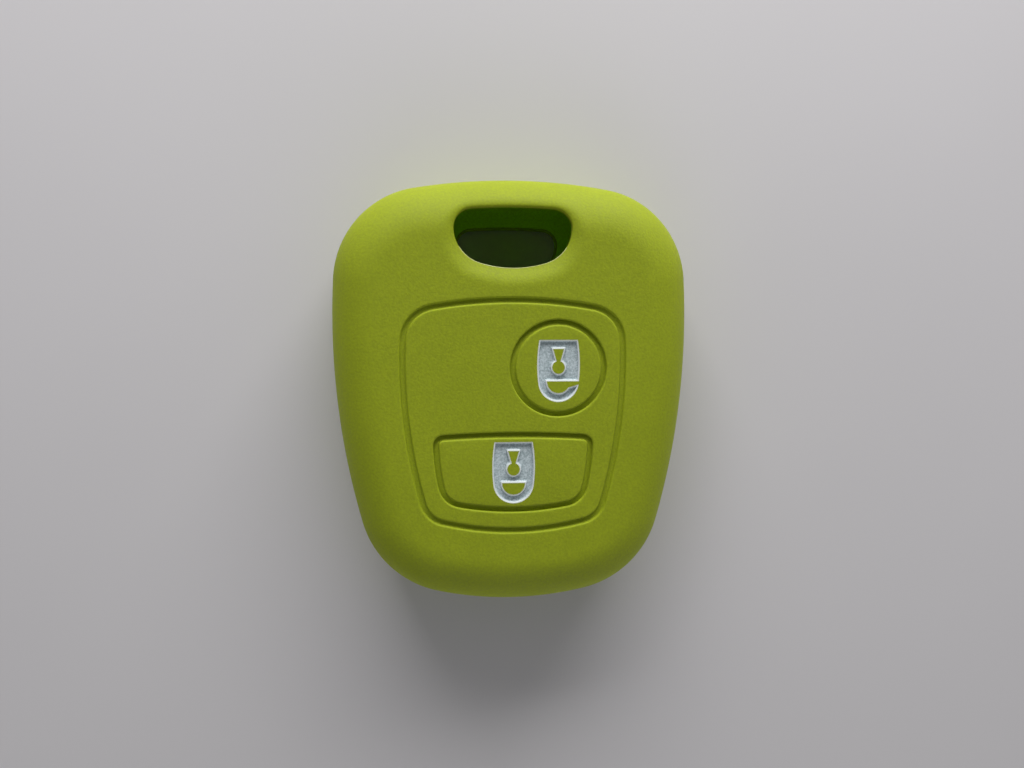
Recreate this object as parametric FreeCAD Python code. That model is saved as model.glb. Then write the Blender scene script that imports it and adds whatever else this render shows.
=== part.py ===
import FreeCAD
import Part
import math
import os
from collections import namedtuple

# Silicone cover for a two-button car remote. Sizes are in millimetres. X runs across the cover, +Y points
# to the key-ring end and +Z out of the button face. The flat back lies on Z = 0, and the middle of the
# outline is X = Y = 0. A groove's place and size are those of its middle line.

# Along the cover, from the key-ring end to the blade end
SLOT_MARGIN = 4.24
SLOT_LENGTH = 8.3
PANEL_MARGIN = 4.28
UNLOCK_TOP_GAP = 2.97
UNLOCK_DIAMETER = 12.4
BUTTON_GAP = 2.87
LOCK_LENGTH = 10.2
LOCK_BOTTOM_GAP = 2.88
BLADE_END_MARGIN = 11.14

# Across the cover
SIDE_MARGIN = 10.01
PANEL_WIDTH = 29.8
SLOT_WIDTH = 16.0
UNLOCK_SIDE_GAP = 2.61
LOCK_SIDE_GAP = 4.4

# Through the cover
POCKET_HEIGHT = 13.4
FACE_WALL = 1.8
BACK_WALL = 1.8
SIDE_WALL = 2.0
FRONT_ROUND = 6.5
REAR_ROUND = 3.5
POCKET_LEAST_ROUND = 0.5

# Outline of the cover: how far below its end it is widest, its long arcs and its corners
OUTLINE_WIDEST = 19.9
OUTLINE_TOP_RADIUS = 81.0
OUTLINE_SIDE_RADIUS = 105.0
OUTLINE_BOTTOM_RADIUS = 47.0
OUTLINE_TOP_CORNER = 13.5
OUTLINE_BOTTOM_CORNER = 14.2

# Outline of the keypad panel
PANEL_WIDEST = 8.5
PANEL_TOP_RADIUS = 62.0
PANEL_SIDE_RADIUS = 71.0
PANEL_BOTTOM_RADIUS = 39.5
PANEL_TOP_CORNER = 4.8
PANEL_BOTTOM_CORNER = 3.6

# Outline of the lock button
LOCK_WIDEST = 0.5
LOCK_TOP_RADIUS = 140.0
LOCK_SIDE_RADIUS = 31.0
LOCK_BOTTOM_RADIUS = 39.0
LOCK_TOP_CORNER = 1.05
LOCK_BOTTOM_CORNER = 3.0

# Outline of the key-ring slot: how far above its lower end it is widest, and how far its bowl-shaped
# lower end rises to the sides. The slot in the back is smaller and starts lower.
SLOT_WIDEST_RISE = 5.4
SLOT_TOP_RADIUS = 72.0
SLOT_BOWL_RISE = 2.23
SLOT_LIP = 1.0
REAR_SLOT_INSET = 0.6
REAR_SLOT_DROP = 0.9

# Mouth in the blade end, through which the remote is pushed in
MOUTH_WIDTH = 28.0
MOUTH_HEIGHT = 6.0

# Grooves round the panel and the buttons
GROOVE_WIDTH = 0.75
GROOVE_DEPTH = 0.45
GROOVE_EDGE = 0.15

# Padlock signs, shackle down, measured from their flat top edge
UNLOCK_SIGN_DROP = 0.375
LOCK_SIGN_TOP_GAP = 0.96
LOCK_SIGN_BOTTOM_GAP = 0.89
SIGN_WIDTH = 5.75
SIGN_WIDEST = 3.4
SIGN_SIDE_RADIUS = 20.0
SIGN_DEPTH = 0.55
PAINT_THICKNESS = 0.12
SHACKLE_BAR = 1.15
SHACKLE_SPACE = 1.65
KEYHOLE_RISE = 1.85
KEYHOLE_RADIUS = 0.88
FLARE_DROP = 1.17
FLARE_WIDTH = 1.55
FLARE_NECK = 0.1
HOOK_INNER_GAP = 0.9
HOOK_OUTER_GAP = 0.5

# Places and overall sizes worked out from the driving sizes
LENGTH = (SLOT_MARGIN + SLOT_LENGTH + PANEL_MARGIN + UNLOCK_TOP_GAP + UNLOCK_DIAMETER + BUTTON_GAP
          + LOCK_LENGTH + LOCK_BOTTOM_GAP + BLADE_END_MARGIN)
WIDTH = PANEL_WIDTH + 2 * SIDE_MARGIN
HEIGHT = BACK_WALL + POCKET_HEIGHT + FACE_WALL
SLOT_TOP = LENGTH / 2 - SLOT_MARGIN
SLOT_BOTTOM = SLOT_TOP - SLOT_LENGTH
SLOT_WIDEST = SLOT_BOTTOM + SLOT_WIDEST_RISE
SLOT_BOWL_RADIUS = ((SLOT_WIDTH / 2) ** 2 + SLOT_BOWL_RISE ** 2) / (2 * SLOT_BOWL_RISE)
PANEL_TOP = SLOT_BOTTOM - PANEL_MARGIN
PANEL_BOTTOM = -LENGTH / 2 + BLADE_END_MARGIN
UNLOCK_X = PANEL_WIDTH / 2 - UNLOCK_SIDE_GAP - UNLOCK_DIAMETER / 2
UNLOCK_Y = PANEL_TOP - UNLOCK_TOP_GAP - UNLOCK_DIAMETER / 2
LOCK_BOTTOM = PANEL_BOTTOM + LOCK_BOTTOM_GAP
LOCK_TOP = LOCK_BOTTOM + LOCK_LENGTH
LOCK_WIDTH = PANEL_WIDTH - 2 * LOCK_SIDE_GAP
CEILING = HEIGHT - FACE_WALL
GROOVE_FLOOR = HEIGHT - GROOVE_DEPTH
PARTING = (REAR_ROUND + HEIGHT - FRONT_ROUND) / 2
SIGN_HEIGHT = LOCK_LENGTH - LOCK_SIGN_TOP_GAP - LOCK_SIGN_BOTTOM_GAP
PADLOCK_BODY = SIGN_HEIGHT - SHACKLE_BAR - SHACKLE_SPACE
KEYHOLE_DROP = PADLOCK_BODY - KEYHOLE_RISE

Shield = namedtuple("Shield", [
    "width", "widest", "top", "bottom",
    "top_radius", "side_radius", "bottom_radius", "top_corner", "bottom_corner"])

COVER = Shield(
    WIDTH, LENGTH / 2 - OUTLINE_WIDEST, LENGTH / 2, -LENGTH / 2,
    OUTLINE_TOP_RADIUS, OUTLINE_SIDE_RADIUS, OUTLINE_BOTTOM_RADIUS,
    OUTLINE_TOP_CORNER, OUTLINE_BOTTOM_CORNER)
PANEL = Shield(
    PANEL_WIDTH, PANEL_TOP - PANEL_WIDEST, PANEL_TOP, PANEL_BOTTOM,
    PANEL_TOP_RADIUS, PANEL_SIDE_RADIUS, PANEL_BOTTOM_RADIUS,
    PANEL_TOP_CORNER, PANEL_BOTTOM_CORNER)
LOCK = Shield(
    LOCK_WIDTH, LOCK_TOP - LOCK_WIDEST, LOCK_TOP, LOCK_BOTTOM,
    LOCK_TOP_RADIUS, LOCK_SIDE_RADIUS, LOCK_BOTTOM_RADIUS,
    LOCK_TOP_CORNER, LOCK_BOTTOM_CORNER)


def up(height):
    return FreeCAD.Vector(0, 0, height)


def grown(shield, by):
    """The outline that runs parallel to a shield, further out by the given distance."""
    return Shield(
        shield.width + 2 * by, shield.widest, shield.top + by, shield.bottom - by,
        shield.top_radius + by, shield.side_radius + by, shield.bottom_radius + by,
        shield.top_corner + by, shield.bottom_corner + by)


def corner_centre(first, first_radius, second, second_radius, radius, outward):
    """Centre of the rounding that runs from one long arc into the next, in the corner that lies outward."""
    between = second - first
    reach = first_radius - radius
    along = (reach ** 2 - (second_radius - radius) ** 2 + between.Length ** 2) / (2 * between.Length)
    across = math.sqrt(reach ** 2 - along ** 2)
    ahead = between.normalize()
    aside = FreeCAD.Vector(-ahead.y, ahead.x, 0) * across
    middle = first + ahead * along
    return max(middle + aside, middle - aside, key=outward.dot)


def beyond(centre, radius, through):
    """The point of an arc that lies in line with its centre and another point."""
    return centre + (through - centre).normalize() * radius


def arc(centre, radius, start, end):
    middle = beyond(centre, radius, (start + end) * 0.5)
    return Part.Arc(start, middle, end).toShape()


def mirrored(point):
    return FreeCAD.Vector(-point.x, point.y, point.z)


def shield_wire(shield, z):
    """A shield outline of three long arcs and its rounded corners, mirror-alike about X = 0."""
    top = FreeCAD.Vector(0, shield.top - shield.top_radius, z)
    side = FreeCAD.Vector(shield.width / 2 - shield.side_radius, shield.widest, z)
    bottom = FreeCAD.Vector(0, shield.bottom + shield.bottom_radius, z)
    upper = corner_centre(
        top, shield.top_radius, side, shield.side_radius, shield.top_corner,
        FreeCAD.Vector(1, 1, 0))
    lower = corner_centre(
        bottom, shield.bottom_radius, side, shield.side_radius, shield.bottom_corner,
        FreeCAD.Vector(1, -1, 0))
    top_end = beyond(top, shield.top_radius, upper)
    side_start = beyond(side, shield.side_radius, upper)
    side_end = beyond(side, shield.side_radius, lower)
    bottom_start = beyond(bottom, shield.bottom_radius, lower)
    return Part.Wire([
        arc(top, shield.top_radius, mirrored(top_end), top_end),
        arc(upper, shield.top_corner, top_end, side_start),
        arc(side, shield.side_radius, side_start, side_end),
        arc(lower, shield.bottom_corner, side_end, bottom_start),
        arc(bottom, shield.bottom_radius, bottom_start, mirrored(bottom_start)),
        arc(mirrored(lower), shield.bottom_corner, mirrored(bottom_start), mirrored(side_end)),
        arc(mirrored(side), shield.side_radius, mirrored(side_end), mirrored(side_start)),
        arc(mirrored(upper), shield.top_corner, mirrored(side_start), mirrored(top_end))])


def cover_outline(by, z):
    return shield_wire(grown(COVER, by), z)


def panel_outline(by, z):
    return shield_wire(grown(PANEL, by), z)


def lock_outline(by, z):
    return shield_wire(grown(LOCK, by), z)


def unlock_outline(by, z):
    return Part.Wire(Part.makeCircle(UNLOCK_DIAMETER / 2 + by, FreeCAD.Vector(UNLOCK_X, UNLOCK_Y, z)))


def upright_corner(radius, rise):
    """Radius of the corner that runs from one of the slot's long arcs into the upright at its widest place."""
    half = SLOT_WIDTH / 2
    return (2 * radius * rise - rise ** 2 - half ** 2) / (2 * (radius - half))


def slot_outline(by, z):
    """The slot's top arc and bowl, with corners between them that meet where the slot is widest."""
    upper_radius = upright_corner(SLOT_TOP_RADIUS, SLOT_TOP - SLOT_WIDEST)
    lower_radius = upright_corner(SLOT_BOWL_RADIUS, SLOT_WIDEST_RISE)
    top = FreeCAD.Vector(0, SLOT_TOP - SLOT_TOP_RADIUS, z)
    bowl = FreeCAD.Vector(0, SLOT_BOTTOM + SLOT_BOWL_RADIUS, z)
    upper = FreeCAD.Vector(SLOT_WIDTH / 2 - upper_radius, SLOT_WIDEST, z)
    lower = FreeCAD.Vector(SLOT_WIDTH / 2 - lower_radius, SLOT_WIDEST, z)
    widest = FreeCAD.Vector(SLOT_WIDTH / 2 + by, SLOT_WIDEST, z)
    top_end = beyond(top, SLOT_TOP_RADIUS + by, upper)
    bowl_start = beyond(bowl, SLOT_BOWL_RADIUS + by, lower)
    return Part.Wire([
        arc(top, SLOT_TOP_RADIUS + by, mirrored(top_end), top_end),
        arc(upper, upper_radius + by, top_end, widest),
        arc(lower, lower_radius + by, widest, bowl_start),
        arc(bowl, SLOT_BOWL_RADIUS + by, bowl_start, mirrored(bowl_start)),
        arc(mirrored(lower), lower_radius + by, mirrored(bowl_start), mirrored(widest)),
        arc(mirrored(upper), upper_radius + by, mirrored(widest), mirrored(top_end))])


def rear_slot_outline(by, z):
    wire = slot_outline(by - REAR_SLOT_INSET, z)
    wire.translate(FreeCAD.Vector(0, -REAR_SLOT_DROP, 0))
    return wire


def prism(outline, by, low, high):
    return Part.Face(outline(by, low)).extrude(up(high - low))


def flare(outline, by_low, low, by_high, high):
    """A prism whose outline grows or shrinks evenly from its low to its high end."""
    return Part.makeLoft([outline(by_low, low), outline(by_high, high)], True, True)


def rounded_block(by, low, high, front_round, rear_round):
    """The cover's outline raised to a block, with its front and rear edges rounded."""
    block = prism(cover_outline, by, low, high)
    for z, radius in ((high, front_round), (low, rear_round)):
        rim = [edge for edge in block.Edges
               if abs(edge.BoundBox.ZMin - z) < 1e-6 and abs(edge.BoundBox.ZMax - z) < 1e-6]
        block = block.makeFillet(radius, rim)
    return block


def pocket():
    """The space for the remote, parallel to the outside."""
    return rounded_block(
        -SIDE_WALL, BACK_WALL, CEILING,
        max(FRONT_ROUND - SIDE_WALL, POCKET_LEAST_ROUND), max(REAR_ROUND - SIDE_WALL, POCKET_LEAST_ROUND))


def front_slot():
    """The key-ring slot in the button face, with its lip eased."""
    throat = prism(slot_outline, 0, PARTING, HEIGHT)
    return throat.fuse(flare(slot_outline, 0, HEIGHT - SLOT_LIP, SLOT_LIP, HEIGHT))


def rear_slot():
    """The key-ring slot in the back, with its lip eased."""
    throat = prism(rear_slot_outline, 0, 0, PARTING)
    return throat.fuse(flare(rear_slot_outline, SLOT_LIP, 0, 0, SLOT_LIP))


def mouth():
    """The slot in the blade end, round at both sides, cut through the end wall into the pocket."""
    radius = MOUTH_HEIGHT / 2
    half = MOUTH_WIDTH / 2 - radius
    outside = -LENGTH / 2
    ends = [FreeCAD.Vector(x, outside, PARTING + z) for x in (-half, half) for z in (-radius, radius)]
    left_low, left_high, right_low, right_high = ends
    wire = Part.Wire([
        Part.LineSegment(left_high, right_high).toShape(),
        Part.Arc(right_high, FreeCAD.Vector(half + radius, outside, PARTING), right_low).toShape(),
        Part.LineSegment(right_low, left_low).toShape(),
        Part.Arc(left_low, FreeCAD.Vector(-half - radius, outside, PARTING), left_high).toShape()])
    return Part.Face(wire).extrude(FreeCAD.Vector(0, BLADE_END_MARGIN, 0))


def groove(outline):
    """The groove along an outline, with both of its top edges eased."""
    half = GROOVE_WIDTH / 2
    eased = HEIGHT - GROOVE_EDGE
    outer = prism(outline, half, GROOVE_FLOOR, eased).fuse(
        flare(outline, half, eased, half + GROOVE_EDGE, HEIGHT))
    inner = prism(outline, -half, GROOVE_FLOOR, eased).fuse(
        flare(outline, -half, eased, -half - GROOVE_EDGE, HEIGHT))
    return outer.cut(inner)


def moulding():
    """The whole sleeve in one, before it is divided where its wall changes its job."""
    sleeve = rounded_block(0, 0, HEIGHT, FRONT_ROUND, REAR_ROUND).cut(pocket())
    for opening in (front_slot(), rear_slot(), mouth()):
        sleeve = sleeve.cut(opening)
    for outline in (panel_outline, unlock_outline, lock_outline):
        sleeve = sleeve.cut(groove(outline))
    return sleeve


def column(outline, by):
    """Everything above the parting line within an outline."""
    return prism(outline, by, PARTING, HEIGHT)


def web(sleeve, outline):
    """The thin wall under a groove."""
    half = GROOVE_WIDTH / 2
    return sleeve.common(column(outline, half).cut(column(outline, -half)))


def pad(sleeve, outline):
    return sleeve.common(column(outline, -GROOVE_WIDTH / 2))


def front_shell(sleeve):
    upper_half = prism(cover_outline, 0, PARTING, HEIGHT)
    return sleeve.common(upper_half).cut(column(panel_outline, GROOVE_WIDTH / 2))


def rear_shell(sleeve):
    return sleeve.cut(prism(cover_outline, 0, PARTING, HEIGHT))


def keypad_panel(sleeve):
    panel = pad(sleeve, panel_outline)
    for outline in (unlock_outline, lock_outline):
        panel = panel.cut(column(outline, GROOVE_WIDTH / 2))
    return panel


def sign_outline(by, z):
    """A padlock's outline: flat top, bulging sides and a bottom arc that runs into the sides."""
    side_radius = SIGN_SIDE_RADIUS + by
    low = -SIGN_HEIGHT - by
    side = FreeCAD.Vector(SIGN_WIDTH / 2 - SIGN_SIDE_RADIUS, -SIGN_WIDEST, z)
    fall = low - side.y
    bottom_radius = (side_radius ** 2 - side.x ** 2 - fall ** 2) / (2 * (fall + side_radius))
    bottom = FreeCAD.Vector(0, low + bottom_radius, z)
    corner = FreeCAD.Vector(side.x + math.sqrt(side_radius ** 2 - (by - side.y) ** 2), by, z)
    meeting = beyond(side, side_radius, bottom)
    return Part.Wire([
        Part.LineSegment(mirrored(corner), corner).toShape(),
        arc(side, side_radius, corner, meeting),
        arc(bottom, bottom_radius, meeting, mirrored(meeting)),
        arc(mirrored(side), side_radius, mirrored(meeting), mirrored(corner))])


def keyhole(low, high):
    flare_points = [
        FreeCAD.Vector(-FLARE_WIDTH / 2, -FLARE_DROP, low),
        FreeCAD.Vector(FLARE_WIDTH / 2, -FLARE_DROP, low),
        FreeCAD.Vector(FLARE_NECK / 2, -KEYHOLE_DROP, low),
        FreeCAD.Vector(-FLARE_NECK / 2, -KEYHOLE_DROP, low)]
    wedge = Part.Face(Part.makePolygon(flare_points + flare_points[:1])).extrude(up(high - low))
    centre = FreeCAD.Vector(0, -KEYHOLE_DROP, low)
    return Part.makeCylinder(KEYHOLE_RADIUS, high - low, centre).fuse(wedge)


def sign(low, high, is_open):
    """A padlock sign as a flat plate, with its keyhole and the space inside its shackle left out."""
    plate = prism(sign_outline, 0, low, high).cut(keyhole(low, high))
    body = Part.makeBox(
        SIGN_WIDTH, PADLOCK_BODY, high - low, FreeCAD.Vector(-SIGN_WIDTH / 2, -PADLOCK_BODY, low))
    plate = plate.cut(prism(sign_outline, -SHACKLE_BAR, low, high).cut(body))
    if is_open:
        gap_points = [
            FreeCAD.Vector(0, -PADLOCK_BODY, low), FreeCAD.Vector(SIGN_WIDTH, -PADLOCK_BODY, low),
            FreeCAD.Vector(SIGN_WIDTH / 2, -PADLOCK_BODY - HOOK_OUTER_GAP, low),
            FreeCAD.Vector(SIGN_WIDTH / 2 - SHACKLE_BAR, -PADLOCK_BODY - HOOK_INNER_GAP, low)]
        plate = plate.cut(Part.Face(Part.makePolygon(gap_points + gap_points[:1])).extrude(up(high - low)))
    return plate


def placed_sign(low, high, is_open):
    plate = sign(low, high, is_open)
    if is_open:
        plate.translate(FreeCAD.Vector(UNLOCK_X, UNLOCK_Y - UNLOCK_SIGN_DROP + SIGN_HEIGHT / 2, 0))
    else:
        plate.translate(FreeCAD.Vector(0, LOCK_TOP - LOCK_SIGN_TOP_GAP, 0))
    return plate


def button(sleeve, outline, is_open):
    """A press pad with the recess of its sign."""
    return pad(sleeve, outline).cut(placed_sign(HEIGHT - SIGN_DEPTH, HEIGHT, is_open))


def paint(is_open):
    """The paint on the floor of a sign's recess."""
    floor = HEIGHT - SIGN_DEPTH
    return placed_sign(floor, floor + PAINT_THICKNESS, is_open)


def main():
    os.makedirs("parts", exist_ok=True)
    sleeve = moulding()
    nodes = {
        "front_shell": front_shell(sleeve),
        "rear_shell": rear_shell(sleeve),
        "keypad_panel": keypad_panel(sleeve),
        "panel_web": web(sleeve, panel_outline),
        "unlock_button": button(sleeve, unlock_outline, True),
        "unlock_web": web(sleeve, unlock_outline),
        "unlock_sign": paint(True),
        "lock_button": button(sleeve, lock_outline, False),
        "lock_web": web(sleeve, lock_outline),
        "lock_sign": paint(False),
    }
    for name, shape in nodes.items():
        shape.exportStep(f"parts/{name}.step")
        box = shape.optimalBoundingBox(False)
        print(f"{name}: {len(shape.Solids)} solid, valid {shape.isValid()}, {shape.Volume:.1f} mm3, "
              f"{box.XLength:.2f} x {box.YLength:.2f} x {box.ZLength:.2f} mm")
    print(f"cover: {WIDTH:.2f} x {LENGTH:.2f} x {HEIGHT:.2f} mm, parting line at {PARTING:.2f} mm")


main()
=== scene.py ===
import math
from collections import namedtuple

import bmesh
import bpy
import numpy as np
from mathutils import Matrix, Vector
from mathutils.geometry import delaunay_2d_cdt


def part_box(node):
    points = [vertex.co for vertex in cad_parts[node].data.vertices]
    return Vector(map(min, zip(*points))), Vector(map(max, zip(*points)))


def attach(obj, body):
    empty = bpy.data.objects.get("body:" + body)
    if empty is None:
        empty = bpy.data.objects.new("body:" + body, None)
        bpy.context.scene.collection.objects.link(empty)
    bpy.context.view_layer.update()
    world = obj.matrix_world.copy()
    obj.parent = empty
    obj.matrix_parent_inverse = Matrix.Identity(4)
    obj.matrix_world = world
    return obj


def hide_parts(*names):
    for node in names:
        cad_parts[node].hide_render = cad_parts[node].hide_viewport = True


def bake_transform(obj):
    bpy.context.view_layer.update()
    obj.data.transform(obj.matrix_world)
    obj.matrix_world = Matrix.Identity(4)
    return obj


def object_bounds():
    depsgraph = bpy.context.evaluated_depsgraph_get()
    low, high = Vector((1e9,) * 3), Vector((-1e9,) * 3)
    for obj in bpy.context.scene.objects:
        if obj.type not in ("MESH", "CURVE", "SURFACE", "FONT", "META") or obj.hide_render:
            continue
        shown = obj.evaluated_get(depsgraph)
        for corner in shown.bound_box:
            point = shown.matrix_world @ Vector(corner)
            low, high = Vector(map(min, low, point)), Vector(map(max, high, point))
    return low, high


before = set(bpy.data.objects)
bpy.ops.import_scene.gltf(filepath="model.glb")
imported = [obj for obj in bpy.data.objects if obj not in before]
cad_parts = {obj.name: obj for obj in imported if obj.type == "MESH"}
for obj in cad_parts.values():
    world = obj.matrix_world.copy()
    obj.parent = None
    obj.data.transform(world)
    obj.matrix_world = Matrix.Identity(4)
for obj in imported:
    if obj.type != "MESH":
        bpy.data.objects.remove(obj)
cad_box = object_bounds()

# A lime green silicone cover for a two-button car remote, lying on its back. Shapes are worked out in
# millimetres in the frame's own axes, and become metres when a mesh is made. An outline is an array of plane
# points that runs counter-clockwise, and a section is a list of (distance outward, height) pairs.
MM = 0.001


def node_box(node):
    """Lowest and highest corner of a CAD node, in millimetres."""
    return [np.array(corner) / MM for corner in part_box(node)]


cover_low, cover_high = [np.array(corner) / MM for corner in cad_box]
shell_low, shell_high = node_box("front_shell")
panel_low, panel_high = node_box("keypad_panel")
web_high = node_box("panel_web")[1]
round_low, round_high = node_box("unlock_button")
lock_low, lock_high = node_box("lock_button")

# Heights and walls
FACE = shell_high[2]
PARTING = shell_low[2]
CEILING = panel_low[2]
GROOVE_FLOOR = web_high[2]
# The back wall is as thick as the face wall
POCKET_FLOOR = FACE - CEILING
SIDE_WALL = 2.0
FRONT_ROUND = 6.5
RING_END_REACH = 8.1
BLADE_END_REACH = 7.0
END_RUN = 14.0
REAR_ROUND = 3.5
POCKET_FRONT_ROUND = FRONT_ROUND - SIDE_WALL
POCKET_REAR_ROUND = REAR_ROUND - SIDE_WALL
FRONT_SPRING = FACE - FRONT_ROUND
REAR_SPRING = REAR_ROUND

# Flat strips beside each rounding, which keep its shading off the flat faces
NARROW_LEAD = 0.2
WIDE_LEAD = 0.4

# Where they end beside the front rim and the slot's lip, in shares of the rounding's reach, and the room
# round the lip that the rim's points leave free
RIM_LEAD = 1.06
LIP_LEAD = 1.15
LIP_ROOM = 1.3

# Grooves: a groove lies half its width to each side of its middle line
HALF_GROOVE = (web_high[0] - panel_high[0]) / 2
GROOVE_EDGE = 0.22
GROOVE_SHOULDER = HALF_GROOVE + GROOVE_EDGE
GROOVE_REACH = GROOVE_SHOULDER + NARROW_LEAD
GROOVE_DRAFT = 0.05
GROOVE_FOOT = 0.1
WEB_TILT = 0.15
WEB_HEM = 0.02
WEB_STEPS = 6

# Openings and their rolled lips
SLOT_MARGIN = 4.24
SLOT_LENGTH = 8.3
SLOT_WIDTH = 16.0
SLOT_WIDEST_RISE = 5.4
SLOT_TOP_RADIUS = 72.0
SLOT_BOWL_RISE = 2.23
SLOT_LIP_REACH_ABOVE = 1.4
SLOT_LIP_REACH_BELOW = 2.5
SLOT_LIP_DROP_ABOVE = 0.5
SLOT_LIP_DROP_BELOW = 0.97
BEVEL_EASE = 0.6
REAR_SLOT_INSET = 0.6
REAR_SLOT_DROP = 0.9
REAR_LIP_REACH = 1.2
REAR_LIP_DROP = 0.9
INNER_EDGE = 0.15
MOUTH_WIDTH = 27.7
MOUTH_HEIGHT = 5.7
MOUTH_LIP = 0.45
MOUTH_REACH = 17.0

# Flash that the mould leaves where its parts meet
PARTING_PROUD = 0.05
PARTING_RADIUS = 0.09
FLASH_RISE = 3.0
FLASH_RADIUS = 0.06

# Mark of the faces that lie inside the cover, which the silicone paints a brighter green as painted bounce
# light
INNER_SIDE = "inner_side"

# Spacing of the points along the outlines
COVER_STEP = 0.45
GROOVE_STEP = 0.3
SIGN_STEP = 0.07

# How close points count as one, or as lying on an outline, and how many are measured at a time
SAME_POINT = 1e-6
ON_OUTLINE = 0.001
WELD_GAP = 0.002
BATCH = 500

# Outlines: how far below its top each one is widest, and the strip beside the lock button
COVER_WIDEST_DROP = 19.9
PANEL_WIDEST_DROP = 8.5
LOCK_WIDEST_DROP = 0.5
LOCK_SIDE_GAP = 4.4

Shield = namedtuple("Shield", [
    "width", "widest", "top", "bottom",
    "top_radius", "side_radius", "bottom_radius", "top_corner", "bottom_corner"])

COVER = Shield(
    width=cover_high[0] - cover_low[0], widest=cover_high[1] - COVER_WIDEST_DROP,
    top=cover_high[1], bottom=cover_low[1],
    top_radius=81.0, side_radius=105.0, bottom_radius=47.0, top_corner=13.5, bottom_corner=14.2)
PANEL_TOP = panel_high[1] + HALF_GROOVE
PANEL = Shield(
    width=panel_high[0] - panel_low[0] + 2 * HALF_GROOVE, widest=PANEL_TOP - PANEL_WIDEST_DROP,
    top=PANEL_TOP, bottom=panel_low[1] - HALF_GROOVE,
    top_radius=62.0, side_radius=71.0, bottom_radius=39.5, top_corner=4.8, bottom_corner=3.6)
LOCK_TOP = lock_high[1] + HALF_GROOVE
LOCK = Shield(
    width=PANEL.width - 2 * LOCK_SIDE_GAP, widest=LOCK_TOP - LOCK_WIDEST_DROP,
    top=LOCK_TOP, bottom=lock_low[1] - HALF_GROOVE,
    top_radius=140.0, side_radius=31.0, bottom_radius=39.0, top_corner=1.05, bottom_corner=3.0)
SLOT_TOP = cover_high[1] - SLOT_MARGIN
SLOT_BOTTOM = SLOT_TOP - SLOT_LENGTH
SLOT_WIDEST = SLOT_BOTTOM + SLOT_WIDEST_RISE
SLOT_BOWL_RADIUS = ((SLOT_WIDTH / 2) ** 2 + SLOT_BOWL_RISE ** 2) / (2 * SLOT_BOWL_RISE)
UNLOCK_CENTRE = (round_low + round_high)[:2] / 2
UNLOCK_RADIUS = (round_high[0] - round_low[0]) / 2 + HALF_GROOVE

# Padlock signs, shackle down, measured from their flat top edge. A paint wall with a hollow of 1 falls
# evenly, and with more it is steeper at its top.
SIGN_WIDTH = 5.75
SIGN_HEIGHT = 8.35
SIGN_WIDEST = 3.4
SIGN_SIDE_RADIUS = 20.0
PAINT_LAP = 0.04
PAINT_PROUD = 0.005
PAINT_SHELF = 0.12
PAINT_SHELF_DROP = 0.035
PAINT_RUN = 0.3
PAINT_SINK = 0.4
PAINT_HOLLOW = 1.2
PAINT_STEPS = 6
PAINT_BED = 0.01
PADLOCK_BODY = 5.55
SHACKLE_BAR = 1.15
KEYHOLE_DROP = 3.7
KEYHOLE_RADIUS = 0.88
FLARE_DROP = 1.17
FLARE_WIDTH = 1.55
FLARE_NECK = 0.1
HOOK_INNER_GAP = 0.9
HOOK_OUTER_GAP = 0.5
UNLOCK_SIGN_DROP = 0.375
LOCK_SIGN_TOP_GAP = 0.96
UNLOCK_SIGN_TOP = UNLOCK_CENTRE + [0, SIGN_HEIGHT / 2 - UNLOCK_SIGN_DROP]
LOCK_SIGN_TOP = np.array([0, LOCK_TOP - LOCK_SIGN_TOP_GAP])


# Plane outlines

def arc_points(centre, radius, start, end, step):
    """Points along an arc from one angle to another, without the last one."""
    count = max(2, round(abs(end - start) * radius / step))
    turns = start + (end - start) * np.arange(count) / count
    return np.asarray(centre) + radius * np.column_stack([np.cos(turns), np.sin(turns)])


def angle_of(direction):
    return math.atan2(direction[1], direction[0])


def mirrored(points):
    """The same points on the other side of the middle line, in the opposite order."""
    return (points * [-1, 1])[::-1]


def corner_centre(first, first_reach, second, second_reach, outward):
    """Where circles about two long arcs' centres cross, in the corner that lies outward."""
    between = second - first
    length = np.linalg.norm(between)
    along = (first_reach ** 2 - second_reach ** 2 + length ** 2) / (2 * length)
    ahead = between / length
    aside = np.array([-ahead[1], ahead[0]]) * math.sqrt(first_reach ** 2 - along ** 2)
    middle = first + ahead * along
    return max(middle + aside, middle - aside, key=lambda point: np.dot(point, outward))


def arc_chain(arcs, step):
    """A mirror-alike outline from the middle of its lower end. Its right half is a chain of arcs that run
    into each other, each with its centre, its radius and the angle at which it ends."""
    right = []
    start = -math.pi / 2
    for centre, radius, end in arcs:
        right.append(arc_points(centre, radius, start, end, step))
        start = end
    right = np.concatenate(right)
    return np.concatenate([right, [centre + [0, radius]], mirrored(right)[:-1]])


def shield_outline(shield, step):
    """An outline of three long arcs and rounded corners, from the middle of its lower end."""
    top = np.array([0, shield.top - shield.top_radius])
    side = np.array([shield.width / 2 - shield.side_radius, shield.widest])
    bottom = np.array([0, shield.bottom + shield.bottom_radius])
    upper = corner_centre(
        top, shield.top_radius - shield.top_corner, side, shield.side_radius - shield.top_corner, (1, 1))
    lower = corner_centre(
        bottom, shield.bottom_radius - shield.bottom_corner,
        side, shield.side_radius - shield.bottom_corner, (1, -1))
    return arc_chain([
        (bottom, shield.bottom_radius, angle_of(lower - bottom)),
        (lower, shield.bottom_corner, angle_of(lower - side)),
        (side, shield.side_radius, angle_of(upper - side)),
        (upper, shield.top_corner, angle_of(upper - top)),
        (top, shield.top_radius, math.pi / 2)], step)


def upright_corner(radius, rise):
    """Radius of the corner from one of the slot's long arcs into the upright at its widest place."""
    half = SLOT_WIDTH / 2
    return (2 * radius * rise - rise ** 2 - half ** 2) / (2 * (radius - half))


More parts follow.
